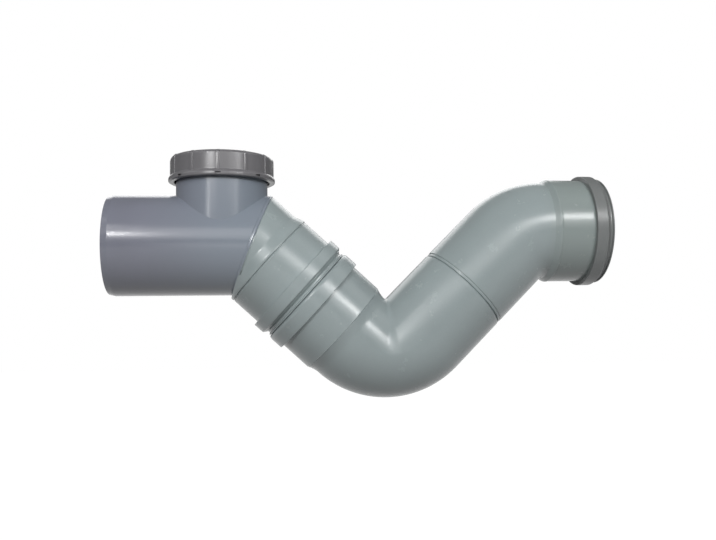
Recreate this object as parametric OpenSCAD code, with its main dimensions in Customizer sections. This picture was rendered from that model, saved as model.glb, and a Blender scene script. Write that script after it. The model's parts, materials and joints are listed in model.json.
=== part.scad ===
// Inline trap for a 110 mm waste pipe. The water runs from the socket on the right, down the riser,
// round the knuckle at the bottom, up the inclined limb and out by the plain pipe end on the left,
// which has a cleaning neck with a screw cap. X runs along the outlet pipe, Z is up.

/* [Pipe] */
// Outside diameter of the pipe
pipe_od = 110; // [100:1:125]
// Wall of the pipe and of every bend
pipe_wall = 3.2; // [2.6:0.1:4]
// Chamfer on a plain pipe end, along the pipe
end_chamfer = 7; // [4:0.5:10]
// Chamfer on a plain pipe end, across the wall
end_taper = 1.6; // [0.8:0.1:2]

/* [Run of the trap] */
// Outlet pipe from its end face to the centre of the mitre
outlet_len = 153.5; // [148:0.5:220]
// Length of the outlet pipe that goes into the next fitting
outlet_grip = 60; // [40:1:66]
// Fall of the inclined limb from the outlet, in degrees
fall_angle = 42.5; // [38:0.5:47]
// Turn of the knuckle at the bottom, in degrees
knuckle_angle = 87.5; // [80:0.5:92]
// Turn of the inlet bend, in degrees
bend_angle = 45; // [38:0.5:48]
// Radius left in the throat of the knuckle
knuckle_throat = 2.5; // [1.5:0.5:12]
// Radius left in the throat of the inlet bend
bend_throat = 7; // [4:0.5:30]
// Straight pipe between the knuckle and the weld on the riser
riser_low = 69; // [50:1:140]
// Straight pipe between the weld on the riser and the inlet bend
riser_high = 68; // [50:1:140]
// Straight pipe between the inclined limb's second socket and the knuckle
knuckle_land = 2; // [1:0.5:20]
// Length left at the throat of the mitre before the socket's shoulder
mitre_land = 5; // [2:0.5:20]

/* [Sockets] */
// Gap round a pipe in a socket, on the radius
socket_gap = 0.1; // [0.05:0.01:0.1]
// Wall of a socket
socket_wall = 3.1; // [2.6:0.1:4]
// Depth of the two sockets of the inclined limb, from the shoulder to the mouth
limb_socket_depth = 55; // [50:0.5:80]
// Depth of the inlet socket, from the shoulder to the mouth
inlet_socket_depth = 59; // [50:0.5:80]
// Length of the flare that opens the pipe into a socket
flare_len = 13.5; // [9:0.5:16]
// Length of the flare on the inlet socket
inlet_flare = 6; // [4:0.5:16]
// Length of the plain taper behind the knuckle's socket
taper_len = 9; // [6:0.5:20]
// Height of the rib round a socket's shoulder
rib_proud = 0.9; // [0.4:0.1:1.6]
// Width of the rib round a socket's shoulder
rib_w = 1.6; // [1:0.1:3]
// Gap between the mouths of the two facing sockets
seam_gap = 0.5; // [0.3:0.1:2]
// Gap between the end of the connecting pipe and the stop in its socket
stop_gap = 2; // [1:0.5:6]

/* [Seals and their retaining rings] */
// Depth of the seat for the seal, on the radius
seat_depth = 3.3; // [2.6:0.1:4]
// Length of the seat for the seal
seat_len = 10; // [8:0.5:12]
// Wall of the socket's rim outside the seal
rim_wall = 2.2; // [1.6:0.1:3]
// Gap round a retaining ring, on the radius
ring_gap = 0.1; // [0.05:0.05:0.3]
// Wall of a retaining ring
ring_wall = 2.3; // [1.6:0.1:3]
// Wall of the knuckle's retaining ring
knuckle_ring_wall = 1.4; // [1.2:0.1:3]
// Flat band of a retaining ring
ring_flat = 12.5; // [11:0.5:16]
// Flat band of the knuckle's retaining ring
knuckle_ring_flat = 13.2; // [11:0.1:16]
// Sloped shoulder of a retaining ring
ring_slope = 4; // [3:0.5:6]
// Nose of a retaining ring, in front of its slope
ring_nose = 4; // [3:0.5:8]
// Drop from the flat band to the nose
ring_drop = 3; // [2:0.1:3.5]
// Lip that hooks a retaining ring behind the socket's rim
ring_lip = 1.6; // [1:0.1:2.5]
// Rounding of the knuckle's retaining ring at its front
knuckle_ring_round = 4.3; // [3:0.1:5]
// Way left round the pipe by a retaining ring's mouth
mouth_gap = 0.6; // [0.3:0.1:1.5]
// Bevel that leads the pipe into a retaining ring
mouth_bevel = 1.6; // [0.8:0.1:1.6]
// Bevel outside a retaining ring's mouth
nose_bevel = 1; // [0.4:0.1:1.2]
// Broken edges of a retaining ring
ring_edge = 0.3; // [0.1:0.1:0.6]
// Thickness of a seal's outer wall
seal_wall = 1.2; // [0.8:0.1:1.3]
// Thickness of a seal's lip
seal_lip = 0.8; // [0.5:0.1:1]

/* [Cleaning neck] */
// Outside diameter of the neck
neck_od = 100; // [90:1:102]
// Distance from the mitre back to the neck's centre line
neck_back = 33; // [30:0.5:45]
// Height of the neck's rim over the outlet's centre line
neck_top = 91; // [80:0.5:130]

/* [Screw cap] */
// Height of the cap
cap_h = 27.8; // [22:0.1:34]
// Gap between the neck and the cap's inner wall, which holds the thread
thread_gap = 2.2; // [1.6:0.1:3]
// Wall of the cap's skirt
cap_wall = 3.8; // [3:0.1:5]
// Thickness of the cap's top
cap_top = 3.2; // [2.5:0.1:5]
// Radius of the cap's top edge
cap_edge = 3.5; // [2:0.1:3.7]
// Height of the bead round the cap's lower edge
bead_h = 6.4; // [5:0.1:9]
// Height that the bead stands out of the skirt
bead_proud = 2.3; // [1.5:0.1:3]
// Number of grip ribs
grip_ribs = 12; // [8:1:24]
// Width of a grip rib
grip_w = 3.4; // [2:0.1:6]
// Height that a grip rib stands out of the skirt
grip_proud = 0.9; // [0.5:0.1:1.4]
// Number of pockets in the bead
pockets = 8; // [4:1:12]
// Width of a pocket
pocket_w = 6; // [4:0.5:9]
// Height of a pocket
pocket_h = 2.4; // [1.5:0.1:3]
// Height of the bead that stays over a pocket
pocket_roof = 1; // [0.6:0.1:1.4]
// Angle at which the tightened cap stops, in degrees
cap_clock = -1; // [-45:0.5:45]
// Thickness of the cap's gasket
gasket_t = 2.6; // [1.5:0.1:4]
// Gap round the gasket in the cap, on the radius
gasket_gap = 0.3; // [0.1:0.1:0.8]
// Way that the gasket reaches into the neck
gasket_in = 1; // [0.5:0.5:4]

/* [Welds] */
// Width of a weld's bead
weld_w = 3.6; // [2:0.1:5]
// Height that a weld's bead stands out of the pipe
weld_proud = 0.9; // [0.4:0.1:1.5]

/* [Hidden] */
$fn = 144;

pipe_r = pipe_od / 2;
bore_r = pipe_r - pipe_wall;
neck_r = neck_od / 2;
far = 4 * pipe_od;
// How far one length of tube runs into the next, and how much thinner it is there
lap = 0.5;
hair = 0.02;
// Overshoot of a cut
over = 1;

// Radii through a socket, from the pipe outwards
socket_r = pipe_r + socket_gap;
body_r = socket_r + socket_wall;
rib_r = body_r + rib_proud;
seat_r = socket_r + seat_depth;
rim_r = seat_r + rim_wall;
ring_bore_r = rim_r + ring_gap;
ring_r = ring_bore_r + ring_wall;
nose_r = ring_r - ring_drop;
mouth_r = pipe_r + mouth_gap;

// Lengths along a retaining ring, from its mouth
ring_len = ring_flat + ring_slope + ring_nose;
ring_front = ring_nose + ring_slope / 2;
knuckle_ring_r = ring_bore_r + knuckle_ring_wall;
knuckle_ring_len = knuckle_ring_flat + knuckle_ring_round;
knuckle_ring_front = knuckle_ring_round - mouth_gap;

// Angles and corners of the run
rise_angle = knuckle_angle - fall_angle;
inlet_slope = rise_angle - bend_angle;
mitre_x = outlet_len - outlet_grip / 2;
neck_x = mitre_x - neck_back;
mitre_throat = pipe_r * tan(fall_angle / 2);
knuckle_r = pipe_r + knuckle_throat;
knuckle_cut = knuckle_r * tan(knuckle_angle / 2);
bend_r = pipe_r + bend_throat;
bend_cut = bend_r * tan(bend_angle / 2);

// Places along the inclined limb, from the centre of the mitre
shoulder_at = mitre_throat + mitre_land;
limb_mouth = shoulder_at + limb_socket_depth;
knuckle_mouth = limb_mouth + seam_gap;
knuckle_shoulder = knuckle_mouth + limb_socket_depth;
limb_len = knuckle_shoulder + taper_len + knuckle_land + knuckle_cut;

// Places along the riser, from the corner of the knuckle
weld_at = knuckle_cut + riser_low;
riser_len = weld_at + riser_high + bend_cut;

// Places along the inlet, from the corner of the inlet bend
inlet_shoulder = bend_cut + inlet_flare;

knuckle_pos = [mitre_x + limb_len * cos(fall_angle), 0, -limb_len * sin(fall_angle)];
bend_pos = knuckle_pos + riser_len * [cos(rise_angle), 0, sin(rise_angle)];

// Places on the cap
cap_bottom = neck_top + gasket_t + cap_top - cap_h;
cap_bore_r = neck_r + thread_gap;
skirt_r = cap_bore_r + cap_wall;

pipe_colour = [0.52, 0.52, 0.55];
fitting_colour = [0.55, 0.60, 0.59];
ring_colour = [0.48, 0.49, 0.50];
cap_colour = [0.42, 0.42, 0.43];
rubber_colour = [0.10, 0.10, 0.11];

module along_limb() {
    translate([mitre_x, 0, 0]) rotate([0, 90 + fall_angle, 0]) children();
}

module along_riser() {
    translate(knuckle_pos) rotate([0, 90 - rise_angle, 0]) children();
}

module along_inlet() {
    translate(bend_pos) rotate([0, 90 - inlet_slope, 0]) children();
}

// Everything on the upper side of a plane through the origin, tilted about Y
module half_space(tilt) {
    rotate([0, tilt, 0]) translate([-far, -far, 0]) cube([2 * far, 2 * far, far]);
}

// A band of the given width under or over the same plane
module half_band(tilt, w) {
    rotate([0, tilt, 0]) translate([-far, -far, 0]) cube([2 * far, 2 * far, w]);
}

// What lies beyond a round bend's outer half, between its two ends. It stays a hair off the pipe
module heel_waste(angle, radius, r) {
    translate([-radius, 0, -radius * tan(angle / 2)]) rotate([90, 0, 0])
        rotate_extrude(angle = angle) difference() {
            translate([radius, -1.5 * r]) square(3 * r);
            translate([radius, 0]) circle(r + hair);
        }
}

// The knuckle with its two straight legs, turning towards -X: two pipes that cross in a sharp
// throat and crease down their sides, and are round over the heel
module knuckle_tube(r, before, after) {
    cross = (knuckle_r + r) * sin(knuckle_angle / 2) - knuckle_cut + over;
    difference() {
        union() {
            translate([0, 0, -before]) cylinder(r = r, h = before + cross);
            rotate([0, -knuckle_angle, 0]) translate([0, 0, -cross]) cylinder(r = r, h = cross + after);
        }
        heel_waste(knuckle_angle, knuckle_r, r);
    }
}

// The inlet bend, turning towards +X, with the straight pipe before it. The pipe laps a little
// way into the bend, a hair thinner, so that the two walls never coincide
module inlet_tube(r, before) {
    translate([bend_r, 0, -bend_cut]) rotate([90, 0, 180])
        rotate_extrude(angle = bend_angle) translate([bend_r, 0]) circle(r);
    translate([0, 0, -bend_cut - before]) cylinder(r = r - hair, h = before + lap);
}

// Outside of a socket from its shoulder at 0 to the end of its rim, with the flare below 0
module socket_outside(depth, front, back, flare, rib, neck_r = pipe_r) {
    rim_end = depth - front;
    rim_start = depth - back + ring_lip + ring_gap;
    top_r = body_r + rib;
    rotate_extrude() polygon([
        [0, -flare - lap], [neck_r, -flare - lap], [neck_r, -flare],
        [top_r, -rib_w / 2], [top_r, rib_w / 2], [body_r, rib_w / 2 + rib],
        [body_r, rim_start], [rim_r, rim_start], [rim_r, rim_end], [0, rim_end],
    ]);
}

// Inside of a socket: the bore, the stop that meets the pipe's end, the socket and the seal's seat
module socket_inside(depth, front, flare, neck_r = bore_r) {
    rim_end = depth - front;
    rotate_extrude() polygon([
        [0, -flare - lap], [neck_r, -flare - lap], [neck_r, pipe_wall - flare],
        [socket_r, 0], [socket_r, rim_end - seat_len],
        [seat_r, rim_end - seat_len], [seat_r, rim_end + over], [0, rim_end + over],
    ]);
}

// The back of a retaining ring, down its outside and up its bore to the back of its mouth
function ring_back(r, len, front) = [
    [r, ring_edge - len], [r - ring_edge, -len],
    [body_r + ring_gap, -len], [body_r + ring_gap, ring_lip - len],
    [ring_bore_r, ring_lip - len], [ring_bore_r, -front], [mouth_r, -front],
];

// A retaining ring from its mouth at 0 back along -Z
module retaining_ring() {
    slope_end = ring_nose + ring_slope;
    rotate_extrude() polygon(concat([
        [mouth_r, -ring_nose], [mouth_r + mouth_bevel, 0], [nose_r - nose_bevel, 0],
        [nose_r - nose_bevel / 3, -nose_bevel / 2], [nose_r, -ring_nose],
        [ring_r - ring_edge, -slope_end], [ring_r, -slope_end - 2 * ring_edge],
    ], ring_back(ring_r, ring_len, ring_front)));
}

// The knuckle's retaining ring, shorter and with a rounded front
module rounded_ring() {
    round_w = knuckle_ring_r - rim_r + nose_bevel;
    front_arc = [for (a = [0:15:90])
        [knuckle_ring_r - round_w * (1 - sin(a)), -knuckle_ring_round * (1 - cos(a))]];
    rotate_extrude() polygon(concat(
        [[mouth_r, -mouth_bevel], [mouth_r + mouth_bevel, 0]], front_arc,
        ring_back(knuckle_ring_r, knuckle_ring_len, knuckle_ring_front)));
}

// A lip seal from its front face at 0 back along -Z: an outer wall and a lip that is hinged at
// the front and rests on the pipe
module lip_seal() {
    len = seat_len - 2 * ring_gap;
    out_r = seat_r - ring_gap;
    rotate_extrude() polygon([
        [socket_r + seal_lip, 0], [out_r, 0], [out_r, -len], [out_r - seal_wall, -len],
        [out_r - seal_wall, -0.4 * len], [socket_r + seal_lip, -0.75 * len],
        [socket_r, -0.7 * len], [socket_r, -0.55 * len],
    ]);
}

module outlet_pipe() {
    left = -outlet_grip / 2;
    color(pipe_colour) difference() {
        union() {
            difference() {
                union() {
                    translate([left, 0, 0]) rotate([0, 90, 0])
                        cylinder(r1 = pipe_r - end_taper, r2 = pipe_r, h = end_chamfer);
                    translate([left + end_chamfer, 0, 0]) rotate([0, 90, 0])
                        cylinder(r = pipe_r, h = outlet_len + mitre_throat);
                }
                translate([mitre_x, 0, 0]) half_space(90 + fall_angle / 2);
            }
            translate([neck_x, 0, 0]) cylinder(r = neck_r, h = neck_top);
            // The pipe's half of the bead at the mitre
            translate([mitre_x, 0, 0]) intersection() {
                rotate([0, 90, 0]) cylinder(r = pipe_r + weld_proud, h = far, center = true);
                half_band(fall_angle / 2 - 90, weld_w / 2);
            }
        }
        translate([left - over, 0, 0]) rotate([0, 90, 0]) cylinder(r = bore_r, h = far);
        translate([neck_x, 0, 0]) cylinder(r = neck_r - pipe_wall, h = neck_top + over);
    }
}

module limb_socket() {
    color(fitting_colour) along_limb() difference() {
        union() {
            translate([0, 0, shoulder_at])
                socket_outside(limb_socket_depth, ring_front, ring_len, flare_len, rib_proud);
            translate([0, 0, -mitre_throat])
                cylinder(r = pipe_r, h = mitre_throat + shoulder_at - flare_len);
            // The socket's half of the bead at the mitre
            intersection() {
                cylinder(r = pipe_r + weld_proud, h = far, center = true);
                half_band(-fall_angle / 2, weld_w / 2);
            }
        }
        half_space(180 - fall_angle / 2);
        translate([0, 0, shoulder_at]) socket_inside(limb_socket_depth, ring_front, flare_len);
        translate([0, 0, -mitre_throat - over])
            cylinder(r = bore_r, h = over + mitre_throat + shoulder_at - flare_len);
    }
}

module limb_retainer() {
    color(fitting_colour) along_limb() translate([0, 0, limb_mouth]) retaining_ring();
}

module limb_seal() {
    color(rubber_colour) along_limb() translate([0, 0, limb_mouth - ring_front - ring_gap]) lip_seal();
}

// The short length of pipe that joins the two facing sockets
module connecting_pipe() {
    from = shoulder_at + stop_gap;
    to = knuckle_shoulder - stop_gap;
    color(pipe_colour) along_limb() difference() {
        union() {
            translate([0, 0, from]) cylinder(r1 = pipe_r - end_taper, r2 = pipe_r, h = end_chamfer);
            translate([0, 0, from + end_chamfer]) cylinder(r = pipe_r, h = to - from - 2 * end_chamfer);
            translate([0, 0, to - end_chamfer])
                cylinder(r1 = pipe_r, r2 = pipe_r - end_taper, h = end_chamfer);
        }
        translate([0, 0, from - over]) cylinder(r = bore_r, h = to - from + 2 * over);
    }
}

module knuckle_retainer() {
    color(fitting_colour) along_limb() translate([0, 0, knuckle_mouth])
        mirror([0, 0, 1]) rounded_ring();
}

module knuckle_seal() {
    color(rubber_colour) along_limb() translate([0, 0, knuckle_mouth + knuckle_ring_front + ring_gap])
        mirror([0, 0, 1]) lip_seal();
}

module trap_bend() {
    leg = knuckle_cut + knuckle_land;
    color(fitting_colour) difference() {
        union() {
            along_limb() translate([0, 0, knuckle_shoulder]) mirror([0, 0, 1])
                socket_outside(limb_socket_depth, knuckle_ring_front, knuckle_ring_len, taper_len, 0);
            along_limb() translate([0, 0, limb_len]) knuckle_tube(pipe_r, leg, weld_at);
            along_riser() translate([0, 0, weld_at - weld_w / 2])
                cylinder(r = pipe_r + weld_proud, h = weld_w / 2);
        }
        along_limb() translate([0, 0, knuckle_shoulder]) mirror([0, 0, 1])
            socket_inside(limb_socket_depth, knuckle_ring_front, taper_len);
        along_limb() translate([0, 0, limb_len]) knuckle_tube(bore_r, leg, weld_at + lap);
    }
}

module inlet_bend() {
    color(fitting_colour) difference() {
        union() {
            along_riser() translate([0, 0, riser_len]) inlet_tube(pipe_r, riser_high);
            along_riser() translate([0, 0, weld_at]) cylinder(r = pipe_r + weld_proud, h = weld_w / 2);
            along_inlet() translate([0, 0, inlet_shoulder])
                socket_outside(inlet_socket_depth, ring_front, ring_len, inlet_flare, rib_proud,
                    pipe_r - hair);
        }
        along_riser() translate([0, 0, riser_len]) inlet_tube(bore_r, riser_high + lap);
        along_inlet() translate([0, 0, inlet_shoulder])
            socket_inside(inlet_socket_depth, ring_front, inlet_flare, bore_r - hair);
    }
}

module inlet_seal() {
    color(rubber_colour) along_inlet()
        translate([0, 0, inlet_shoulder + inlet_socket_depth - ring_front - ring_gap]) lip_seal();
}

module inlet_retainer() {
    color(ring_colour) along_inlet()
        translate([0, 0, inlet_shoulder + inlet_socket_depth]) retaining_ring();
}

// Outline of the cap's skirt and top edge at the given radius
module cap_outline(r) {
    edge = [for (a = [0:18:90]) [r - cap_edge * (1 - cos(a)), cap_h - cap_edge * (1 - sin(a))]];
    polygon(concat([[0, 0], [r, 0]], edge, [[0, cap_h]]));
}

// Outline of the bead round the cap's lower edge
module cap_bead(r) {
    polygon([
        [0, 0], [r - 0.7 * bead_proud, 0], [r - 0.2 * bead_proud, 0.1 * bead_h],
        [r, 0.3 * bead_h], [r, 0.56 * bead_h], [r - 0.2 * bead_proud, 0.75 * bead_h],
        [skirt_r + grip_proud, bead_h], [0, bead_h],
    ]);
}

module access_cap() {
    pocket_top = bead_h - pocket_roof;
    color(cap_colour) translate([neck_x, 0, cap_bottom]) rotate([0, 0, cap_clock]) difference() {
        union() {
            rotate_extrude() cap_outline(skirt_r);
            rotate_extrude() cap_bead(skirt_r + bead_proud);
            intersection() {
                rotate_extrude() cap_outline(skirt_r + grip_proud);
                for (i = [0:grip_ribs - 1]) rotate([0, 0, i * 360 / grip_ribs])
                    translate([skirt_r / 2, -grip_w / 2, 0]) cube([skirt_r, grip_w, cap_h]);
            }
        }
        translate([0, 0, -over]) cylinder(r = cap_bore_r, h = cap_h - cap_top + over);
        for (i = [0:pockets - 1]) rotate([0, 0, i * 360 / pockets])
            translate([skirt_r, -pocket_w / 2, pocket_top - pocket_h]) cube([far, pocket_w, pocket_h]);
    }
}

module cap_gasket() {
    color(rubber_colour) translate([neck_x, 0, neck_top]) difference() {
        cylinder(r = cap_bore_r - gasket_gap, h = gasket_t);
        translate([0, 0, -over])
            cylinder(r = neck_r - pipe_wall - gasket_in, h = gasket_t + 2 * over);
    }
}

outlet_pipe();
limb_socket();
access_cap();
cap_gasket();
limb_retainer();
limb_seal();
connecting_pipe();
knuckle_retainer();
knuckle_seal();
trap_bend();
inlet_bend();
inlet_seal();
inlet_retainer();
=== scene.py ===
"""The looks of an inline trap for a 110 mm waste pipe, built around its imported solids.

The water runs in by the socket on the right, down the riser, round the knuckle, up the inclined
limb and out by the plain pipe on the left, which has a cleaning neck with a screw cap.
Lengths below are in millimetres, and MM turns them into Blender's metres.
"""

import json
import math

import bmesh
import bpy
from mathutils import Matrix, Vector

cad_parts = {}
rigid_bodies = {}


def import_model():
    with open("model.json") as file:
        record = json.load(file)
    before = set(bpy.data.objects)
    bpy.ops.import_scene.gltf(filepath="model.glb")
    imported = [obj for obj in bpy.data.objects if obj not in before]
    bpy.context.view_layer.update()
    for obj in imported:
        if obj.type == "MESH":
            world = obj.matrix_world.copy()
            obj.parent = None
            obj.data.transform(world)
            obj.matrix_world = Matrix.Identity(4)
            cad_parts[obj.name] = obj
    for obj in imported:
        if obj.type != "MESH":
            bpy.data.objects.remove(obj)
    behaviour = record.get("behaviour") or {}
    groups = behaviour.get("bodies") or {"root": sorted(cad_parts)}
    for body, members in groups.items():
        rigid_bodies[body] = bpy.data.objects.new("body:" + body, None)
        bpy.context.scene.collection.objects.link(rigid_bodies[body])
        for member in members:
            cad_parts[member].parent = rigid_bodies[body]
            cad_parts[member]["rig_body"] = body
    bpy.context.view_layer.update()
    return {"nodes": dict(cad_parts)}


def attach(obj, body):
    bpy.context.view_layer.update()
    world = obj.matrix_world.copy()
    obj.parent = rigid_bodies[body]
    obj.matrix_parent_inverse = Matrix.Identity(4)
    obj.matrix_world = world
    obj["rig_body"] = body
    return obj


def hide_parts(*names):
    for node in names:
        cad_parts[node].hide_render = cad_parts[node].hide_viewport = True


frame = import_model()

MM = 0.001
TURN = 2 * math.pi
ROUND_STEPS = 180
HOLD = 0.35  # from a corner to the points that keep the faces beside it flat
MERGE = 2e-6  # metres within which two points are one
ON_PLACE = 1.5e-5  # metres within which a point lies at a place
SLIVER = 1e-5  # metres below which an edge is no edge

# The pipe and its run
PIPE_R = 55.0
WALL = 3.2
BORE_R = PIPE_R - WALL
FALL = math.radians(42.5)
KNUCKLE = math.radians(87.5)
BEND = math.radians(45)
RISE = KNUCKLE - FALL
PIPE_END = -30.0
CHAMFER = 7.0
CHAMFER_R = 53.4
MITRE_X = 123.5
NECK_X = 90.5
NECK_R = 50.0
NECK_TOP = 91.0
KNUCKLE_R = 57.5
BEND_R = 62.0
KNUCKLE_CUT = KNUCKLE_R * math.tan(KNUCKLE / 2)
BEND_CUT = BEND_R * math.tan(BEND / 2)
MITRE_THROAT = PIPE_R * math.tan(FALL / 2)

# Sockets, seals and rings
SOCKET_R = 55.1
BODY_R = 58.2
SEAT_R = 58.4
RIM_R = 60.6
SEAT_LEN = 10.0
SHOULDER_RUN = 13.5
RING_GAP = 0.1
RING_BORE_R = RIM_R + RING_GAP
RING_R = 63.0
KNUCKLE_RING_R = 62.1
RING_LEN = 20.5
RING_FRONT = 6.0
KNUCKLE_RING_LEN = 17.5
KNUCKLE_RING_FRONT = 3.7
RING_LIP = 1.6
MOUTH_R = 55.6

# Places along the limb, the riser and the inlet
SHOULDER = MITRE_THROAT + 5
LIMB_MOUTH = SHOULDER + 55
KNUCKLE_MOUTH = LIMB_MOUTH + 0.5
KNUCKLE_SHOULDER = KNUCKLE_MOUTH + 55
LIMB_LEN = KNUCKLE_SHOULDER + 11 + KNUCKLE_CUT
WELD = KNUCKLE_CUT + 69
RISER_LEN = WELD + 68 + BEND_CUT
INLET_SHOULDER = BEND_CUT + 6
INLET_MOUTH = INLET_SHOULDER + 59

# The cap
GASKET = 2.6
CAP_TOP = 3.2
CAP_H = 27.8
CAP_BOTTOM = NECK_TOP + GASKET + CAP_TOP - CAP_H
CAP_BORE_R = 52.2
SKIRT_R = 56.0
BEAD_H = 6.4
BEAD_R = SKIRT_R + 2.3
CAP_CLOCK = math.radians(-1)
RIBS = 12
RIB_R = 56.9
RIB_WIDTH = 3.4
RIB_ROUND = 3.5
POCKETS = 8
POCKET_SIZE = (8.0, 6.0, 2.6)
POCKET_RISE = 2.3
THREAD_PITCH = 6.0
THREAD_TURNS = 2.2
RUN_OUT = 0.05  # the share of a thread that it takes to run out


class Line:
    """A straight stretch of the run: where it starts, the way it goes and a side square to it."""

    def __init__(self, start, slope):
        self.start = Vector(start)
        self.along = Vector((math.cos(slope), 0, math.sin(slope)))
        self.side = Vector((-math.sin(slope), 0, math.cos(slope)))

    def at(self, reach, radius=0.0):
        return self.start + self.along * (reach * MM) + self.side * (radius * MM)


outlet = Line((0, 0, 0), 0)
limb = Line((MITRE_X * MM, 0, 0), -FALL)
riser = Line(limb.at(LIMB_LEN), RISE)
inlet = Line(riser.at(RISER_LEN), RISE - BEND)
neck = Line((NECK_X * MM, 0, 0), math.pi / 2)


# Tools of the modelling

def put_down():
    """Leaves edit mode with nothing selected."""
    if bpy.context.object and bpy.context.object.mode != "OBJECT":
        bpy.ops.object.mode_set(mode="OBJECT")
    bpy.ops.object.select_all(action="DESELECT")


def pick_up(piece, editing=False):
    put_down()
    bpy.context.view_layer.objects.active = piece
    piece.select_set(True)
    if editing:
        bpy.ops.object.mode_set(mode="EDIT")


def pick(piece, wanted, kind="verts"):
    """Selects the vertices whose place passes the test wanted, or the edges whose two ends do."""
    bpy.ops.mesh.select_all(action="DESELECT")
    bpy.ops.mesh.select_mode(type="VERT" if kind == "verts" else "EDGE")
    mesh = bmesh.from_edit_mesh(piece.data)
    for part in getattr(mesh, kind):
        places = [part.co] if kind == "verts" else [v.co for v in part.verts]
        part.select_set(all(wanted(place) for place in places))
    bmesh.update_edit_mesh(piece.data)


def soften(offset, affect):
    """Rounds the selected corners or edges by an offset."""
    bpy.ops.mesh.bevel(offset=offset * MM, offset_type="OFFSET", segments=3, affect=affect)


def close_up():
    """Merges what coincides, turns the faces outwards and leaves edit mode."""
    bpy.ops.mesh.select_mode(type="VERT")
    bpy.ops.mesh.select_all(action="SELECT")
    bpy.ops.mesh.remove_doubles(threshold=MERGE)
    bpy.ops.mesh.normals_make_consistent(inside=False)
    if bmesh.from_edit_mesh(bpy.context.object.data).calc_volume(signed=True) < 0:
        bpy.ops.mesh.flip_normals()
    bpy.ops.object.mode_set(mode="OBJECT")


def held(stations):
    """The same outline with a point close to each side of every corner, which keeps its faces flat.
    Between two places whose softness is None it is left to curve."""
    outline = []
    count = len(stations)
    for i, (radius, reach, soft) in enumerate(stations):
        after = stations[(i + 1) % count]
        curves = soft is None and after[2] is None
        outline.append((radius, reach, soft or 0))
        length = math.hypot(after[0] - radius, after[1] - reach)
        near, far = (soft or 0) + HOLD, length - (after[2] or 0) - HOLD
        if far - near > 0.2 and not curves:
            for part in (near / length, far / length):
                outline.append((radius + (after[0] - radius) * part,
                                reach + (after[1] - reach) * part, 0))
    return outline


def draw(name, points):
    """A closed outline drawn point by point, and left in edit mode."""
    put_down()
    bpy.ops.mesh.primitive_plane_add(size=0.01, enter_editmode=True)
    piece = bpy.context.object
    piece.name = name
    bpy.ops.mesh.merge(type="CENTER")
    bpy.ops.transform.translate(value=points[0])
    for here, there in zip(points, points[1:] + points[:1]):
        bpy.ops.mesh.extrude_vertices_move(TRANSFORM_OT_translate={"value": there - here})
    bpy.ops.mesh.select_all(action="SELECT")
    bpy.ops.mesh.remove_doubles(threshold=MERGE)
    return piece


def turned(name, stations, line):
    """A closed outline of (radius, reach, softness), softened at its corners and spun round the
    line."""
    outline = held(stations)
    points = [line.at(reach, radius) for radius, reach, _ in outline]
    piece = draw(name, points)
    for soft in sorted({soft for _, _, soft in outline if soft}):
        corners = [point for point, (_, _, own) in zip(points, outline) if own == soft]
        pick(piece, lambda place: any((place - corner).length < ON_PLACE for corner in corners))
        soften(soft, "VERTICES")
    bpy.ops.mesh.select_all(action="SELECT")
    bpy.ops.mesh.spin(steps=ROUND_STEPS, angle=TURN, center=line.start, axis=line.along)
    close_up()
    return piece


def join(pieces):
    """Makes the pieces one, under the name of the first."""
    put_down()
    for piece in pieces:
        piece.select_set(True)
    bpy.context.view_layer.objects.active = pieces[0]
    bpy.ops.object.join()
    return pieces[0]


def take(piece, other, operation):
    """Adds another piece to a piece, or cuts it away. The other piece is used up."""
    pick_up(piece)
    change = piece.modifiers.new(operation.lower(), "BOOLEAN")
    change.operation = operation
    change.solver = "EXACT"
    change.object = other
    bpy.ops.object.modifier_apply(modifier=change.name)
    bpy.data.objects.remove(other)


def cut_off(piece, place, normal):
    """Cuts away what lies beyond a plane, and closes the cut."""
    pick_up(piece, editing=True)
    bpy.ops.mesh.select_all(action="SELECT")
    bpy.ops.mesh.bisect(plane_co=place, plane_no=normal, use_fill=True, clear_outer=True)
    close_up()


def clear_slivers(piece):
    """Takes away the faces without area that a cut along another piece's edges leaves."""
    pick_up(piece, editing=True)
    bpy.ops.mesh.select_all(action="SELECT")
    bpy.ops.mesh.dissolve_degenerate(threshold=SLIVER)
    close_up()


def rim(name, line, reach, radius):
    """A bare ring of edges round a line, to be pulled on."""
    put_down()
    slope = math.atan2(line.along.z, line.along.x)
    bpy.ops.mesh.primitive_circle_add(
        vertices=ROUND_STEPS, radius=radius * MM, location=line.at(reach),
        rotation=(0, math.pi / 2 - slope, 0))
    piece = bpy.context.object
    piece.name = name
    bpy.ops.object.transform_apply(location=True, rotation=True, scale=True)
    bpy.ops.object.mode_set(mode="EDIT")
    bpy.ops.mesh.select_all(action="SELECT")
    return piece


def pull(line, start, stations):
    """Pulls the selected rim along a line through its stations."""
    here_r, here = start
    for radius, reach, _ in stations:
        bpy.ops.mesh.extrude_edges_move(
            TRANSFORM_OT_translate={"value": line.along * ((reach - here) * MM)})
        if abs(radius - here_r) > 1e-6:
            bpy.ops.transform.resize(value=(radius / here_r,) * 3, center_override=line.at(reach))
        here_r, here = radius, reach


def finish(piece, node, look, body=None, angle=32):
    """Smooths a piece, gives it its material, and lets it stand for a node or ride a body."""
    material, slot = look
    pick_up(piece)
    bpy.ops.object.shade_smooth_by_angle(angle=math.radians(angle))
    piece.data.materials.clear()
    piece.data.materials.append(material)
    for polygon in piece.data.polygons:
        polygon.material_index = 0
    if node:
        piece.name = node + "_skin"
        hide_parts(node)
        body = frame["nodes"][node]["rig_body"]
    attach(piece, body)
    put_down()


# Materials

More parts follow.
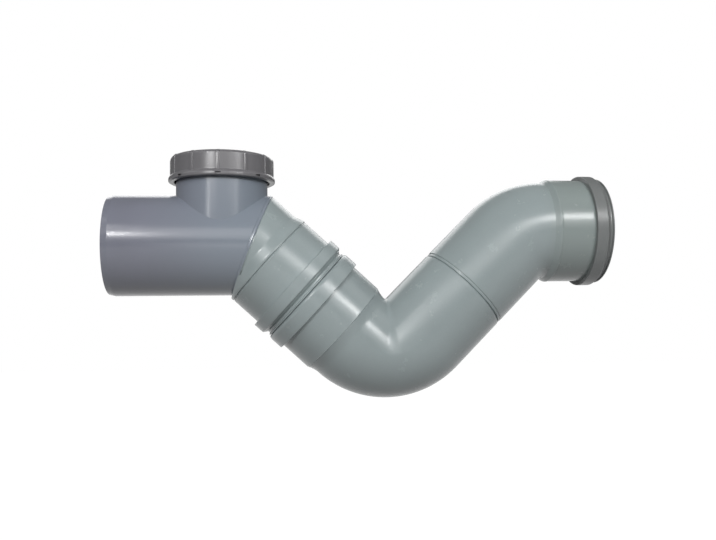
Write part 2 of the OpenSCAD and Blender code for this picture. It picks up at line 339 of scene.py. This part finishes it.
class Wire:
    """A shader value that can be written in sums."""

    def __init__(self, look, socket):
        self.look, self.socket = look, socket

    def sum(self, operation, *values):
        return self.look.node("ShaderNodeMath", values, operation=operation)

    def __add__(self, other):
        return self.sum("ADD", self, other)

    def __radd__(self, other):
        return self.sum("ADD", other, self)

    def __mul__(self, other):
        return self.sum("MULTIPLY", self, other)

    def __rmul__(self, other):
        return self.sum("MULTIPLY", other, self)

    def fade(self, low, high):
        """0 below low, 1 above high and smooth between."""
        return self.look.node("ShaderNodeMapRange", [self, low, high, 0.0, 1.0],
                              interpolation_type="SMOOTHSTEP")


class Look:
    """A material and the nodes that paint it."""

    def __init__(self, name):
        self.material = bpy.data.materials.new(name)
        self.material.use_nodes = True
        self.tree = self.material.node_tree
        self.shader = self.tree.nodes["Principled BSDF"]
        self.place = self.node("ShaderNodeTexCoord", [], output="Object")

    def node(self, kind, values=(), output=0, **settings):
        """Adds a node: its settings first, then the values or wires of its sockets."""
        node = self.tree.nodes.new(kind)
        for name, value in settings.items():
            setattr(node, name, value)
        pairs = values.items() if isinstance(values, dict) else enumerate(values)
        for socket, value in pairs:
            self.feed(node.inputs[socket], value)
        return Wire(self, node.outputs[output])

    def feed(self, socket, value):
        if isinstance(value, Wire):
            self.tree.links.new(value.socket, socket)
        else:
            socket.default_value = value

    def noise(self, scale, detail=2.0, roughness=0.5, stretch=(1, 1, 1), shift=(0, 0, 0)):
        """Cloudy noise of a size, drawn out along an axis by stretch."""
        place = self.node("ShaderNodeMapping", {"Vector": self.place, "Scale": stretch,
                                                "Location": shift})
        return self.node("ShaderNodeTexNoise", {"Vector": place, "Scale": scale, "Detail": detail,
                                                "Roughness": roughness}, output="Fac")

    def mix(self, factor, one, other):
        """Goes from one colour to the other."""
        mixer = self.tree.nodes.new("ShaderNodeMix")
        mixer.data_type = "RGBA"
        for socket, value in ((0, factor), (6, one), (7, other)):
            self.feed(mixer.inputs[socket], value)
        return Wire(self, mixer.outputs[2])

    def paint(self, **sockets):
        for name, value in sockets.items():
            self.feed(self.shader.inputs[name.replace("_", " ").title()], value)

    def raise_by(self, height, depth):
        """Turns a height from 0 to 1 into relief of the given depth in metres."""
        bump = self.node("ShaderNodeBump", {"Strength": 1.0, "Distance": depth, "Height": height},
                         output="Normal")
        self.feed(self.shader.inputs["Normal"], bump)


def shade(colour, factor=1.0):
    return tuple(min(1.0, part * factor) for part in colour) + (1.0,)


def plastic(name, slot, colour, gloss, tint=None, grain=1.0, drawn=(1, 1, 1), crown=None):
    """Satin unplasticised PVC: faint clouds of tone, the fine mottle and orange peel of its skin,
    and a few dull rubs. grain is the strength of that skin, and drawn stretches it. tint is a
    second tone with the places along the part where it starts and takes over, and crown is the
    height from which the surface is matt."""
    look = Look(name)
    clouds = look.noise(14, 3.0, 0.55)
    mottle = look.noise(420, 3.0, 0.6, drawn, (0.3, 0.1, 0.2))
    peel = look.noise(1500, 2.0, 0.5, drawn)
    rubs = look.noise(55, 5.0, 0.65, (1, 1, 1), (2.0, 1.0, 3.0)).fade(0.58, 0.72)
    tone = look.mix(clouds.fade(0.3, 0.7), shade(colour, 0.955), shade(colour, 1.035))
    if tint:
        along = look.node("ShaderNodeSeparateXYZ", [look.place])
        tone = look.mix(along.fade(*tint[1:]), tone, shade(tint[0]))
    tone = look.mix(mottle.fade(0.35, 0.75) * (0.16 * grain), tone, shade(colour, 0.86))
    tone = look.mix(rubs * 0.05, tone, shade(colour, 1.14))
    rough = gloss + clouds * 0.05 + mottle * (0.05 * grain) + rubs * 0.04
    if crown:
        height = look.node("ShaderNodeSeparateXYZ", [look.place], output=2)
        rough = rough + height.fade(crown - 0.0008, crown - 0.0002) * 0.3
    look.paint(base_color=tone, roughness=rough)
    look.raise_by(peel * 0.6 + mottle * 0.4, 0.00001 * grain)
    look.shader.inputs["IOR"].default_value = 1.53
    return look.material, slot


def rubber(name, slot):
    """Matt black rubber with a fine skin."""
    look = Look(name)
    skin = look.noise(900, 3.0, 0.6)
    bloom = look.noise(60, 4.0, 0.6).fade(0.4, 0.75)
    look.paint(base_color=look.mix(bloom * 0.5, (0.018, 0.018, 0.019, 1), (0.034, 0.034, 0.036, 1)),
               roughness=0.56 + skin * 0.12)
    look.raise_by(skin, 0.00004)
    return look.material, slot


# The pipe is lighter and bluer towards its mitre, and the inlet's socket is painted darker than its
# bend as painted shade
pipe_look = plastic("drawn_pipe", "pipe_grey", (0.186, 0.194, 0.236), 0.165,
                    ((0.218, 0.250, 0.293), -0.01, 0.12), 0.3, (0.04, 1, 1))
FITTING = (0.296, 0.345, 0.350)
fitting_look = plastic("moulded_fitting", "fitting_grey", FITTING, 0.205)
# The inlet's socket takes a darker tone of the fitting grey from x 0.440 m to 0.465 m: painted
# shade
inlet_painted_shade_look = plastic("moulded_inlet_painted_shade", "fitting_grey", FITTING, 0.205,
                     ((0.252, 0.293, 0.285), 0.440, 0.465))
ring_look = plastic("moulded_ring", "ring_grey", (0.170, 0.179, 0.178), 0.30)
cap_look = plastic("moulded_cap", "cap_grey", (0.158, 0.155, 0.163), 0.20,
                   crown=(NECK_TOP + GASKET + CAP_TOP) * MM)
seal_look = rubber("seal_rubber", "seal_rubber")


# The pieces

MITRE_SLOPE = FALL / 2
MITRE_ALONG = Vector((math.cos(MITRE_SLOPE), 0, -math.sin(MITRE_SLOPE)))
GROOVE_OFF = 1.9
PIPE_STOCK = 165.0  # how far the outlet pipe is drawn before the mitre cuts it
LIMB_STOCK = -26.0  # where the limb is drawn from before the mitre cuts it
KNUCKLE_STEPS = 88
BEND_STEPS = 60
HALVINGS = 24


def mitre_ring(name, off, radius, thick):
    """A round cord laid along the mitre, moved off its plane onto one of the two pipes."""
    put_down()
    line, step = (limb, off) if off > 0 else (outlet, off)
    centre = limb.start + line.along * (step * MM / math.cos(MITRE_SLOPE))
    bpy.ops.mesh.primitive_circle_add(vertices=ROUND_STEPS, radius=radius * MM, location=centre,
                                      rotation=(0, math.pi / 2 + MITRE_SLOPE, 0))
    piece = bpy.context.object
    piece.name = name
    piece.scale.x = 1 / math.cos(MITRE_SLOPE)
    bpy.ops.object.transform_apply(location=True, rotation=True, scale=True)
    bpy.ops.object.convert(target="CURVE")
    piece = bpy.context.object
    piece.data.bevel_depth = thick * MM
    piece.data.bevel_resolution = 3
    bpy.ops.object.convert(target="MESH")
    piece = bpy.context.object
    bpy.ops.object.mode_set(mode="EDIT")
    close_up()
    return piece


def thread(name, crest, root, low, line):
    """A ridge that climbs round a line, pitched as the cap's thread, and runs out at both ends."""
    section = [(root, 0.0), (crest, 0.7), (crest, 1.7), (root, 2.4)]
    piece = draw(name, [Vector((radius * MM, 0, (low + rise) * MM)) for radius, rise in section])
    bpy.ops.object.mode_set(mode="OBJECT")
    climb = piece.modifiers.new("climb", "SCREW")
    climb.angle = TURN * THREAD_TURNS
    climb.screw_offset = THREAD_PITCH * THREAD_TURNS * MM
    climb.steps = climb.render_steps = int(96 * THREAD_TURNS)
    climb.use_merge_vertices = False
    bpy.ops.object.modifier_apply(modifier="climb")
    count = len(piece.data.vertices) // len(section)
    for index, vertex in enumerate(piece.data.vertices):
        part = index // len(section) / (count - 1)
        depth = min(1.0, part / RUN_OUT, (1 - part) / RUN_OUT)
        radius = math.hypot(vertex.co.x, vertex.co.y)
        wanted = root * MM + (radius - root * MM) * depth
        vertex.co.x *= wanted / radius
        vertex.co.y *= wanted / radius
    bpy.ops.object.mode_set(mode="EDIT")
    bpy.ops.mesh.select_all(action="SELECT")
    bpy.ops.mesh.fill_holes(sides=len(section))
    close_up()
    piece.location = line.start
    bpy.ops.object.transform_apply(location=True)
    return piece


def make_outlet_pipe():
    piece = turned("outlet_pipe", [
        (0, PIPE_END, 0), (CHAMFER_R, PIPE_END, 0.5), (PIPE_R, PIPE_END + CHAMFER, 0.4),
        (PIPE_R, PIPE_STOCK, 0), (0, PIPE_STOCK, 0)], outlet)
    take(piece, turned("neck_wall", [
        (0, 0, 0), (NECK_R, 0, 0), (NECK_R, NECK_TOP, 0.5), (0, NECK_TOP, 0)], neck), "UNION")
    cut_off(piece, limb.start, MITRE_ALONG)
    take(piece, turned("pipe_bore", [
        (0, PIPE_END - 2, 0), (BORE_R + 2.5, PIPE_END - 2, 0), (BORE_R, PIPE_END + 0.5, 0),
        (BORE_R, PIPE_STOCK + 5, 0), (0, PIPE_STOCK + 5, 0)], outlet), "DIFFERENCE")
    take(piece, turned("neck_bore", [
        (0, 0, 0), (NECK_R - WALL, 0, 0), (NECK_R - WALL, NECK_TOP - 0.5, 0),
        (NECK_R - WALL + 2.5, NECK_TOP + 2, 0), (0, NECK_TOP + 2, 0)], neck), "DIFFERENCE")
    take(piece, mitre_ring("groove", -GROOVE_OFF, PIPE_R, thick=0.34), "DIFFERENCE")
    clear_slivers(piece)
    finish(piece, "outlet_pipe", pipe_look, angle=20)
    finish(thread("neck_thread", 51.6, 49.8, 74, neck), None, pipe_look, "trap")


def socket_rim(mouth, front, back, way):
    """The stretch of a socket that a retaining ring covers: where its rim starts and ends."""
    return mouth - way * (back - RING_LIP - RING_GAP), mouth - way * front


def make_limb_socket():
    rim_start, rim_end = socket_rim(LIMB_MOUTH, RING_FRONT, RING_LEN, 1)
    piece = turned("limb_socket", [
        (PIPE_R, LIMB_STOCK, 0), (PIPE_R, SHOULDER - SHOULDER_RUN, 1.2),
        (BODY_R + 0.4, SHOULDER - 3.2, 0.9), (BODY_R + 0.45, SHOULDER - 1.2, 0.2),
        (BODY_R - 0.8, SHOULDER - 0.6, 0), (BODY_R - 0.8, SHOULDER, 0),
        (BODY_R, SHOULDER + 0.8, 0.2), (BODY_R, rim_start, 0), (RIM_R, rim_start, 0.2),
        (RIM_R, rim_end, 0.3), (SEAT_R, rim_end, 0.2), (SEAT_R, rim_end - SEAT_LEN, 0),
        (SOCKET_R, rim_end - SEAT_LEN, 0.3), (SOCKET_R, SHOULDER, 0.4),
        (BORE_R, SHOULDER - SHOULDER_RUN + WALL, 0.4), (BORE_R, LIMB_STOCK, 0)], limb)
    cut_off(piece, limb.start, -MITRE_ALONG)
    take(piece, mitre_ring("groove", GROOVE_OFF, PIPE_R, thick=0.75), "DIFFERENCE")
    clear_slivers(piece)
    finish(piece, "limb_socket", fitting_look)


def make_mitre_weld():
    piece = mitre_ring("mitre_weld", 0.0, PIPE_R - 1.35, thick=1.75)
    ripple = bpy.data.textures.new("weld_ripple", "CLOUDS")
    ripple.noise_scale = 0.006
    pick_up(piece)
    wave = piece.modifiers.new("wave", "DISPLACE")
    wave.texture = ripple
    wave.texture_coords = "LOCAL"
    wave.strength = 0.0005
    bpy.ops.object.modifier_apply(modifier="wave")
    finish(piece, None, pipe_look, "trap")


def ring_outline(mouth, way, radius, length, front, nose):
    """A retaining ring's section: its nose, then its back, down its outside and up its bore."""
    back = [(radius, length, 0.4), (BODY_R + RING_GAP, length, 0.2),
            (BODY_R + RING_GAP, length - RING_LIP, 0), (RING_BORE_R, length - RING_LIP, 0),
            (RING_BORE_R, front, 0), (MOUTH_R, front, 0.2)]
    return [(r, mouth - way * reach, soft) for r, reach, soft in nose + back]


def make_rings():
    nose = [(MOUTH_R, 4, 0.4), (MOUTH_R + 1.6, 0, 0.3), (59.4, 0, 0.3), (59.9, 0.6, 0.2),
            (59.9, 1.4, 0.2), (58.2, 2.1, 0.2), (58.2, 4.3, 0.3), (RING_R - 0.1, 8.2, 0.5)]
    for node, line, mouth, look in (("limb_retainer", limb, LIMB_MOUTH, fitting_look),
                                    ("inlet_retainer", inlet, INLET_MOUTH, ring_look)):
        piece = turned(node, ring_outline(mouth, 1, RING_R, RING_LEN, RING_FRONT, nose), line)
        finish(piece, node, look)
    front = [(KNUCKLE_RING_R - 2.5 * (1 - math.sin(a)), 4.3 * (1 - math.cos(a)), 0)
             for a in (math.radians(15 * step) for step in range(7))]
    nose = [(MOUTH_R, 1.6, 0.3), (MOUTH_R + 1.6, 0, 0.3)] + front
    piece = turned("knuckle_retainer", ring_outline(
        KNUCKLE_MOUTH, -1, KNUCKLE_RING_R, KNUCKLE_RING_LEN, KNUCKLE_RING_FRONT, nose), limb)
    finish(piece, "knuckle_retainer", fitting_look)


def make_seals():
    section = [(55.9, 0), (58.3, 0), (58.3, 9.8), (57.1, 9.8), (57.1, 3.92), (55.9, 7.35),
               (SOCKET_R, 6.86), (SOCKET_R, 5.39)]
    for node, line, face, way in (
            ("limb_seal", limb, LIMB_MOUTH - RING_FRONT - RING_GAP, 1),
            ("knuckle_seal", limb, KNUCKLE_MOUTH + KNUCKLE_RING_FRONT + RING_GAP, -1),
            ("inlet_seal", inlet, INLET_MOUTH - RING_FRONT - RING_GAP, 1)):
        piece = turned(node, [(r, face - way * reach, 0.15) for r, reach in section], line)
        finish(piece, node, seal_look)
    piece = turned("cap_gasket", [
        (45.8, NECK_TOP, 0.3), (51.9, NECK_TOP, 0.3), (51.9, NECK_TOP + GASKET, 0.3),
        (45.8, NECK_TOP + GASKET, 0.3)], neck)
    finish(piece, "cap_gasket", seal_look)


def make_connecting_pipe():
    start, end = SHOULDER + 2, KNUCKLE_SHOULDER - 2
    piece = turned("connecting_pipe", [
        (CHAMFER_R, start, 0.4), (PIPE_R, start + CHAMFER, 0.4), (PIPE_R, end - CHAMFER, 0.4),
        (CHAMFER_R, end, 0.4), (BORE_R, end, 0.2), (BORE_R, start, 0.2)], limb)
    finish(piece, "connecting_pipe", pipe_look)


def held_run(stations):
    """The stations of a run that doesn't close, with hold points beside its corners."""
    outline = held(stations)
    last = max(i for i, station in enumerate(outline) if station[:2] == stations[-1][:2])
    return outline[:last + 1]


def on_ring(line, reach, radius):
    """Tells whether a place is on the ring of that radius and reach round a line."""
    def test(place):
        way = place - line.start
        along = way.dot(line.along)
        return (abs(along - reach * MM) < ON_PLACE
                and abs((way - line.along * along).length - radius * MM) < ON_PLACE)
    return test


def bend_skin(name, before, after, first, second, corner, angle, steps):
    """The skin of a bent tube: pulled along the first line, spun round the bend's centre and pulled
    along the second. Its stations are (radius, reach, softness)."""
    before, after = held_run(before), held_run(after)
    piece = rim(name, first, before[0][1], before[0][0])
    pull(first, before[0][:2], before[1:])
    bpy.ops.mesh.spin(steps=steps, angle=angle, center=corner, axis=(0, 1, 0))
    pull(second, after[0][:2], after[1:])
    for line, stations in ((first, before), (second, after)):
        for radius, reach, soft in stations:
            if soft:
                pick_up(piece, editing=True)
                pick(piece, on_ring(line, reach, radius), "edges")
                soften(soft, "EDGES")
    put_down()
    return piece


def close_tube(outer, inner):
    """Joins the outer skin of a tube, with its two end faces, to the inner skin."""
    join([outer, inner])
    bpy.ops.object.mode_set(mode="EDIT")
    close_up()


def throat(piece, corner, radius, size, soft):
    """Draws a bend, spun with that radius about its corner, in to the two pipes of that size which
    cross in it, with a crease that is softened over soft."""
    full = size * MM
    for vertex in piece.data.vertices:
        away = vertex.co - corner
        if away.dot(limb.along) <= 1e-6 or away.dot(riser.along) >= -1e-6:
            continue
        flat = Vector((away.x, 0, away.z)).normalized()
        middle = corner + flat * (radius * MM)
        way = (vertex.co - middle).normalized()

        def outside(reach):
            spot = middle + way * reach
            gaps = []
            for line in (limb, riser):
                off = spot - line.start
                gaps.append((off - line.along * off.dot(line.along)).length - full)
            near = max(soft * MM - abs(gaps[0] - gaps[1]), 0) / (soft * MM)
            return min(gaps) - near * near * soft * MM / 4

        if outside(full) > 0:
            low, high = 0.0, full
            for _ in range(HALVINGS):
                trial = (low + high) / 2
                low, high = (low, trial) if outside(trial) > 0 else (trial, high)
            vertex.co = middle + way * low


def make_trap_bend():
    rim_start, rim_end = socket_rim(KNUCKLE_MOUTH, KNUCKLE_RING_FRONT, KNUCKLE_RING_LEN, -1)
    bend_start = LIMB_LEN - KNUCKLE_CUT
    corner = limb.at(bend_start, KNUCKLE_R)
    taper = KNUCKLE_SHOULDER - 0.5
    fall = [(PIPE_R + 2.7 * (1 - part) ** 1.7, taper + part * (bend_start - taper), None)
            for part in (step / 8 for step in range(9))]
    outer = bend_skin(
        "trap_bend",
        [(SEAT_R, rim_end, 0), (RIM_R, rim_end, 0.3), (RIM_R, rim_start, 0.2),
         (BODY_R, rim_start, 0), (BODY_R, taper - 1.8, 0), (BODY_R + 0.15, taper - 1.1, 0.2),
         (BODY_R - 0.7, taper - 0.4, 0)] + fall,
        [(PIPE_R, KNUCKLE_CUT, 0), (PIPE_R, WELD - 4.6, None), (PIPE_R - 0.08, WELD - 2.8, 0),
         (PIPE_R - 2.1, WELD - 2.3, 0), (PIPE_R - 2.1, WELD - 1.3, 0),
         (PIPE_R - 0.6, WELD - 0.6, 0), (PIPE_R - 0.5, WELD, 0), (BORE_R, WELD, 0)],
        limb, riser, corner, KNUCKLE, KNUCKLE_STEPS)
    inner = bend_skin(
        "trap_bore",
        [(SEAT_R, rim_end, 0), (SEAT_R, rim_end + SEAT_LEN, 0), (SOCKET_R, rim_end + SEAT_LEN, 0),
         (SOCKET_R, KNUCKLE_SHOULDER, 0.4), (BORE_R, KNUCKLE_SHOULDER + 9 - WALL, 0.4),
         (BORE_R, bend_start, 0)],
        [(BORE_R, KNUCKLE_CUT, 0), (BORE_R, WELD, 0)],
        limb, riser, corner, KNUCKLE, KNUCKLE_STEPS)
    throat(outer, corner, KNUCKLE_R, PIPE_R, soft=3.5)
    throat(inner, corner, KNUCKLE_R, BORE_R, soft=2.5)
    close_tube(outer, inner)
    finish(outer, "trap_bend", fitting_look)


def make_inlet_bend():
    rim_start, rim_end = socket_rim(INLET_MOUTH, RING_FRONT, RING_LEN, 1)
    bend_start = RISER_LEN - BEND_CUT
    corner = riser.at(bend_start, -BEND_R)
    outer = bend_skin(
        "inlet_bend",
        [(BORE_R, WELD, 0), (PIPE_R - 0.5, WELD, 0), (PIPE_R - 0.45, WELD + 0.8, 0),
         (PIPE_R - 0.9, WELD + 1.3, 0), (PIPE_R - 0.8, WELD + 2.0, 0), (PIPE_R, WELD + 2.8, 0.2),
         (PIPE_R, bend_start, 0)],
        [(PIPE_R, BEND_CUT, 0), (BODY_R + 0.4, INLET_SHOULDER - 0.8, 0.7),
         (BODY_R + 0.45, INLET_SHOULDER + 0.8, 0.3), (BODY_R - 0.2, INLET_SHOULDER + 1.5, 0),
         (BODY_R, INLET_SHOULDER + 2.2, 0),
         (BODY_R, rim_start, 0), (RIM_R, rim_start, 0.2), (RIM_R, rim_end, 0.3),
         (SEAT_R, rim_end, 0)],
        riser, inlet, corner, -BEND, BEND_STEPS)
    inner = bend_skin(
        "inlet_bore",
        [(BORE_R, WELD, 0), (BORE_R, bend_start, 0)],
        [(BORE_R, BEND_CUT, 0), (BORE_R, BEND_CUT + WALL, 0.4), (SOCKET_R, INLET_SHOULDER, 0.4),
         (SOCKET_R, rim_end - SEAT_LEN, 0.3), (SEAT_R, rim_end - SEAT_LEN, 0),
         (SEAT_R, rim_end, 0)],
        riser, inlet, corner, -BEND, BEND_STEPS)
    close_tube(outer, inner)
    finish(outer, "inlet_bend", inlet_painted_shade_look)


def make_access_cap():
    stand = Line(neck.at(CAP_BOTTOM), math.pi / 2)
    piece = turned("access_cap", [
        (0, CAP_H, 0), (SKIRT_R, CAP_H, 3.2), (SKIRT_R, BEAD_H + 0.5, 0.3), (RIB_R, BEAD_H, 0.3),
        (BEAD_R, 4.2, 0.9), (BEAD_R, 0.9, 0.7), (BEAD_R - 1.6, 0, 0.4), (CAP_BORE_R, 0, 0.5),
        (CAP_BORE_R, CAP_H - CAP_TOP, 0.6), (0, CAP_H - CAP_TOP, 0)], stand)
    ribs = [grip_rib(stand, CAP_CLOCK + index * TURN / RIBS) for index in range(RIBS)]
    take(piece, join(ribs), "UNION")
    pockets = [pocket(stand, CAP_CLOCK + index * TURN / POCKETS) for index in range(POCKETS)]
    take(piece, join(pockets), "DIFFERENCE")
    finish(piece, "access_cap", cap_look)
    finish(thread("cap_thread", 50.7, 52.3, 71, neck), None, cap_look, "cap")


def pocket(stand, turn):
    """The block that cuts one pocket into the cap's bead."""
    put_down()
    away = Vector((math.cos(turn), math.sin(turn), 0)) * ((SKIRT_R + POCKET_SIZE[0] / 2) * MM)
    bpy.ops.mesh.primitive_cube_add(size=1, location=stand.at(POCKET_RISE) + away,
                                    rotation=(0, 0, turn))
    piece = bpy.context.object
    piece.name = "pocket"
    piece.scale = [length * MM for length in POCKET_SIZE]
    bpy.ops.object.transform_apply(location=True, rotation=True, scale=True)
    return piece


def grip_rib(stand, turn):
    """One grip rib of the cap: its side outline, pulled to its width and softened."""
    top = [(RIB_R - RIB_ROUND * (1 - math.cos(a)), CAP_H - RIB_ROUND * (1 - math.sin(a)))
           for a in (math.radians(15 * step) for step in range(7))]
    outline = [(53.4, 3.0), (RIB_R, 3.0)] + top + [(51.0, CAP_H), (51.0, 24.0), (53.4, 20.0)]
    out = Vector((math.cos(turn), math.sin(turn), 0))
    side = Vector((-math.sin(turn), math.cos(turn), 0))
    piece = draw("grip_rib", [
        stand.start + out * (r * MM) + stand.along * (z * MM) - side * (RIB_WIDTH / 2 * MM)
        for r, z in outline])
    bpy.ops.mesh.edge_face_add()
    bpy.ops.mesh.extrude_region_move(TRANSFORM_OT_translate={"value": side * (RIB_WIDTH * MM)})
    close_up()
    soft = piece.modifiers.new("soft", "BEVEL")
    soft.width = 0.4 * MM
    soft.segments = 2
    soft.limit_method = "ANGLE"
    soft.angle_limit = math.radians(50)
    bpy.ops.object.modifier_apply(modifier="soft")
    return piece


make_outlet_pipe()
make_limb_socket()
make_mitre_weld()
make_rings()
make_seals()
make_connecting_pipe()
make_trap_bend()
make_inlet_bend()
make_access_cap()


# Stage, lamps and camera

def stage_look(name, colour, glow):
    """A plain pale surface that shows a little brighter to the camera, to glass and in gloss."""
    look = Look(name)
    look.paint(base_color=colour, roughness=0.9)
    look.shader.inputs["Specular IOR Level"].default_value = 0.2
    path = look.tree.nodes.new("ShaderNodeLightPath")
    seen = Wire(look, path.outputs["Is Camera Ray"])
    shone = Wire(look, path.outputs["Is Glossy Ray"])
    passed = Wire(look, path.outputs["Is Transmission Ray"])
    light = look.node("ShaderNodeEmission", {"Color": (1, 1, 1, 1),
                                            "Strength": (seen + shone + passed) * glow})
    both = look.node("ShaderNodeAddShader", [Wire(look, look.shader.outputs[0]), light])
    look.tree.links.new(both.socket, look.tree.nodes["Material Output"].inputs["Surface"])
    return look.material


put_down()
bpy.ops.mesh.primitive_plane_add(size=12, location=(0.24, 1.5, -0.62))
floor = bpy.context.object
floor.name = "floor"
floor.data.materials.append(stage_look("pale_floor", (0.12, 0.12, 0.12, 1), 1.0))

world = bpy.data.worlds.new("studio")
bpy.context.scene.world = world
world.use_nodes = True
tree = world.node_tree
sky = tree.nodes["Background"]
sky.inputs["Color"].default_value = (1, 1, 1, 1)
path = tree.nodes.new("ShaderNodeLightPath")
level = tree.nodes.new("ShaderNodeMapRange")
level.inputs["To Min"].default_value = 0.17
level.inputs["To Max"].default_value = 1.0
tree.links.new(path.outputs["Is Camera Ray"], level.inputs["Value"])
tree.links.new(level.outputs["Result"], sky.inputs["Strength"])


LAMP_AIM = Vector((0.22, 0, -0.03))
LAMP_REACH = 1.3


def lamp(name, turn, rise, size, power):
    """A soft lamp aimed at the part: turn degrees to the right of its front, rise degrees up."""
    turn, rise = math.radians(turn), math.radians(rise)
    away = Vector((math.sin(turn) * math.cos(rise), -math.cos(turn) * math.cos(rise),
                   math.sin(rise)))
    light = bpy.data.lights.new(name, "AREA")
    light.shape = "RECTANGLE"
    light.size, light.size_y = size
    light.energy = power
    thing = bpy.data.objects.new(name, light)
    bpy.context.scene.collection.objects.link(thing)
    thing.location = LAMP_AIM + away * LAMP_REACH
    thing.rotation_euler = away.to_track_quat("Z", "Y").to_euler()


# The keys and strips make the bright bands on the pipes and the neck, the soft and side lamps
# light the rest, and the back lamp is for the views from behind. Sizes in metres, power in watts.
for name, turn, rise, size, power in (
        ("left_key", -27, 20.5, (0.27, 0.16), 4.1), ("left_high", -32, 35, (0.20, 0.14), 0.7),
        ("left_soft", -38, 27, (0.50, 0.36), 0.8), ("left_side", -74, 34, (0.60, 0.50), 1.3),
        ("left_strip", -35, 10, (0.13, 0.22), 0.60), ("front_soft", 0, 25, (1.00, 0.54), 3.5),
        ("front_low", -3, -2, (0.56, 0.20), 0.60), ("middle", 18, 25, (0.20, 0.16), 0.8),
        ("right_strip", 31, 9, (0.13, 0.22), 0.20), ("right_key", 34.5, 24, (0.29, 0.17), 4.0),
        ("right_soft", 28, 19, (0.45, 0.36), 0.55), ("right_side", 74, 42, (0.60, 0.50), 0.85),
        ("back", 180, 32, (1.40, 0.60), 5.0)):
    lamp(name, turn, rise, size, power)


# The camera as it was fitted to the photograph: turned, tipped and rolled round the aim
CAMERA_AIM = Vector((241.36, 0, -27.45)) * MM
CAMERA_REACH = 884.31 * MM
CAMERA_PIXELS = 785.93
PHOTO_WIDTH = 716
yaw, pitch, roll = (math.radians(a) for a in (-6.32, 3.35, 0.60))
stance = (Matrix.Rotation(yaw, 3, "Z") @ Matrix.Rotation(pitch, 3, "X")
          @ Matrix.Rotation(roll, 3, "Y"))
right, ahead, up = (stance @ Vector(axis) for axis in ((1, 0, 0), (0, 1, 0), (0, 0, 1)))
camera = bpy.data.objects.new("camera", bpy.data.cameras.new("camera"))
bpy.context.scene.collection.objects.link(camera)
camera.matrix_world = Matrix.Translation(CAMERA_AIM - ahead * CAMERA_REACH) @ Matrix(
    (right, up, -ahead)).transposed().to_4x4()
camera.data.sensor_width = 36
camera.data.sensor_fit = "HORIZONTAL"
camera.data.lens = CAMERA_PIXELS * 36 / PHOTO_WIDTH
camera.data.clip_start = 0.05
bpy.context.scene.camera = camera
bpy.context.scene.view_settings.view_transform = "Standard"
